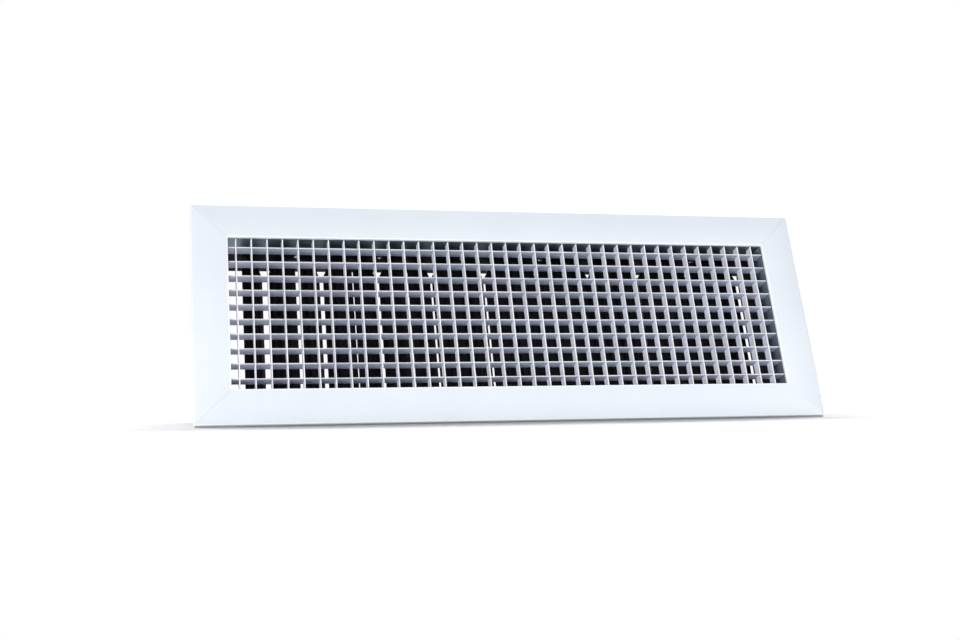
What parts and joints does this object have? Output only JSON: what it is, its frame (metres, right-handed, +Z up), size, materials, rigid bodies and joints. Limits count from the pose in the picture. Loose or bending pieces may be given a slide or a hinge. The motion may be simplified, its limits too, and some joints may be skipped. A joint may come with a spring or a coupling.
{
  "type": "egg-crate air grille with damper",
  "caption": "Rectangular egg-crate air grille: mitred white flange, square-cell core, short neck and a geared opposed-blade damper behind it.",
  "frame": {"origin": "centre of the wall opening, in the plane of the wall that the flange's back lies on", "axes": "+X along the grille's length, +Y into the wall along the air path, +Z up"},
  "size_m": [0.545, 0.068, 0.195],
  "materials": {
    "flange_paint": "white powder coat, satin",
    "core_paint": "white powder coat on thin strip",
    "neck_metal": "mill finish, lightly drawn along its length",
    "key_metal": "as cast",
    "damper_paint": "matt black powder coat",
    "blade_paint": "matt black powder coat",
    "gear_nylon": "moulded nylon",
    "spring_steel": "zinc plated",
    "gasket_foam": "closed-cell foam strip"
  },
  "bodies": {
    "root": {"frame_top": "flange_paint", "frame_right": "flange_paint", "frame_bottom": "flange_paint", "frame_left": "flange_paint", "corner_key_top_left": "key_metal", "corner_key_top_right": "key_metal", "corner_key_bottom_right": "key_metal", "corner_key_bottom_left": "key_metal", "flange_gasket": "gasket_foam", "neck_top": "neck_metal", "neck_right": "neck_metal", "neck_bottom": "neck_metal", "neck_left": "neck_metal", "core_upright_strips": "core_paint", "core_level_strips": "core_paint", "damper_top_channel": "damper_paint", "damper_bottom_channel": "damper_paint", "damper_left_plate": "damper_paint", "damper_right_plate": "damper_paint", "spring_clip_left": "spring_steel", "spring_clip_right": "spring_steel"},
    "leaf_01": {"blade_01": "blade_paint", "gear_01": "gear_nylon"},
    "leaf_02": {"blade_02": "blade_paint", "gear_02": "gear_nylon"},
    "leaf_03": {"blade_03": "blade_paint", "gear_03": "gear_nylon"},
    "leaf_04": {"blade_04": "blade_paint", "gear_04": "gear_nylon"},
    "leaf_05": {"blade_05": "blade_paint", "gear_05": "gear_nylon"},
    "leaf_06": {"blade_06": "blade_paint", "gear_06": "gear_nylon"},
    "leaf_07": {"blade_07": "blade_paint", "gear_07": "gear_nylon"},
    "leaf_08": {"blade_08": "blade_paint", "gear_08": "gear_nylon"},
    "leaf_09": {"blade_09": "blade_paint", "gear_09": "gear_nylon"},
    "leaf_10": {"blade_10": "blade_paint", "gear_10": "gear_nylon"},
    "leaf_11": {"blade_11": "blade_paint", "gear_11": "gear_nylon"},
    "leaf_12": {"blade_12": "blade_paint", "gear_12": "gear_nylon"},
    "leaf_13": {"blade_13": "blade_paint", "gear_13": "gear_nylon"},
    "leaf_14": {"blade_14": "blade_paint", "gear_14": "gear_nylon"},
    "leaf_15": {"blade_15": "blade_paint", "gear_15": "gear_nylon"},
    "leaf_16": {"blade_16": "blade_paint", "gear_16": "gear_nylon"},
    "leaf_17": {"blade_17": "blade_paint", "gear_17": "gear_nylon"},
    "leaf_18": {"blade_18": "blade_paint", "gear_18": "gear_nylon"},
    "leaf_19": {"blade_19": "blade_paint", "gear_19": "gear_nylon", "adjuster_arm": "blade_paint"}
  },
  "joints": [
    {"name": "blade_01_pivot", "type": "hinge", "parent": "root", "child": "leaf_01", "pos_m": [-0.2186, 0.0454, 0], "axis": [0, 0, 1], "range_deg": [0, 60]},
    {"name": "blade_02_pivot", "type": "hinge", "parent": "root", "child": "leaf_02", "pos_m": [-0.194, 0.0454, 0], "axis": [0, 0, 1], "range_deg": [-60, 0]},
    {"name": "blade_03_pivot", "type": "hinge", "parent": "root", "child": "leaf_03", "pos_m": [-0.1694, 0.0454, 0], "axis": [0, 0, 1], "range_deg": [0, 60]},
    {"name": "blade_04_pivot", "type": "hinge", "parent": "root", "child": "leaf_04", "pos_m": [-0.1448, 0.0454, 0], "axis": [0, 0, 1], "range_deg": [-60, 0]},
    {"name": "blade_05_pivot", "type": "hinge", "parent": "root", "child": "leaf_05", "pos_m": [-0.1202, 0.0454, 0], "axis": [0, 0, 1], "range_deg": [0, 60]},
    {"name": "blade_06_pivot", "type": "hinge", "parent": "root", "child": "leaf_06", "pos_m": [-0.0956, 0.0454, 0], "axis": [0, 0, 1], "range_deg": [-60, 0]},
    {"name": "blade_07_pivot", "type": "hinge", "parent": "root", "child": "leaf_07", "pos_m": [-0.071, 0.0454, 0], "axis": [0, 0, 1], "range_deg": [0, 60]},
    {"name": "blade_08_pivot", "type": "hinge", "parent": "root", "child": "leaf_08", "pos_m": [-0.0464, 0.0454, 0], "axis": [0, 0, 1], "range_deg": [-60, 0]},
    {"name": "blade_09_pivot", "type": "hinge", "parent": "root", "child": "leaf_09", "pos_m": [-0.0218, 0.0454, 0], "axis": [0, 0, 1], "range_deg": [0, 60]},
    {"name": "blade_10_pivot", "type": "hinge", "parent": "root", "child": "leaf_10", "pos_m": [0.0028, 0.0454, 0], "axis": [0, 0, 1], "range_deg": [-60, 0]},
    {"name": "blade_11_pivot", "type": "hinge", "parent": "root", "child": "leaf_11", "pos_m": [0.0274, 0.0454, 0], "axis": [0, 0, 1], "range_deg": [0, 60]},
    {"name": "blade_12_pivot", "type": "hinge", "parent": "root", "child": "leaf_12", "pos_m": [0.052, 0.0454, 0], "axis": [0, 0, 1], "range_deg": [-60, 0]},
    {"name": "blade_13_pivot", "type": "hinge", "parent": "root", "child": "leaf_13", "pos_m": [0.0766, 0.0454, 0], "axis": [0, 0, 1], "range_deg": [0, 60]},
    {"name": "blade_14_pivot", "type": "hinge", "parent": "root", "child": "leaf_14", "pos_m": [0.1012, 0.0454, 0], "axis": [0, 0, 1], "range_deg": [-60, 0]},
    {"name": "blade_15_pivot", "type": "hinge", "parent": "root", "child": "leaf_15", "pos_m": [0.1258, 0.0454, 0], "axis": [0, 0, 1], "range_deg": [0, 60]},
    {"name": "blade_16_pivot", "type": "hinge", "parent": "root", "child": "leaf_16", "pos_m": [0.1504, 0.0454, 0], "axis": [0, 0, 1], "range_deg": [-60, 0]},
    {"name": "blade_17_pivot", "type": "hinge", "parent": "root", "child": "leaf_17", "pos_m": [0.175, 0.0454, 0], "axis": [0, 0, 1], "range_deg": [0, 60]},
    {"name": "blade_18_pivot", "type": "hinge", "parent": "root", "child": "leaf_18", "pos_m": [0.1996, 0.0454, 0], "axis": [0, 0, 1], "range_deg": [-60, 0]},
    {"name": "blade_19_pivot", "type": "hinge", "parent": "root", "child": "leaf_19", "pos_m": [0.2242, 0.0454, 0], "axis": [0, 0, 1], "range_deg": [0, 60]}
  ],
  "couplings": [
    {"joint": "blade_01_pivot", "follows": "blade_19_pivot", "ratio": 1},
    {"joint": "blade_02_pivot", "follows": "blade_19_pivot", "ratio": -1},
    {"joint": "blade_03_pivot", "follows": "blade_19_pivot", "ratio": 1},
    {"joint": "blade_04_pivot", "follows": "blade_19_pivot", "ratio": -1},
    {"joint": "blade_05_pivot", "follows": "blade_19_pivot", "ratio": 1},
    {"joint": "blade_06_pivot", "follows": "blade_19_pivot", "ratio": -1},
    {"joint": "blade_07_pivot", "follows": "blade_19_pivot", "ratio": 1},
    {"joint": "blade_08_pivot", "follows": "blade_19_pivot", "ratio": -1},
    {"joint": "blade_09_pivot", "follows": "blade_19_pivot", "ratio": 1},
    {"joint": "blade_10_pivot", "follows": "blade_19_pivot", "ratio": -1},
    {"joint": "blade_11_pivot", "follows": "blade_19_pivot", "ratio": 1},
    {"joint": "blade_12_pivot", "follows": "blade_19_pivot", "ratio": -1},
    {"joint": "blade_13_pivot", "follows": "blade_19_pivot", "ratio": 1},
    {"joint": "blade_14_pivot", "follows": "blade_19_pivot", "ratio": -1},
    {"joint": "blade_15_pivot", "follows": "blade_19_pivot", "ratio": 1},
    {"joint": "blade_16_pivot", "follows": "blade_19_pivot", "ratio": -1},
    {"joint": "blade_17_pivot", "follows": "blade_19_pivot", "ratio": 1},
    {"joint": "blade_18_pivot", "follows": "blade_19_pivot", "ratio": -1}
  ]
}
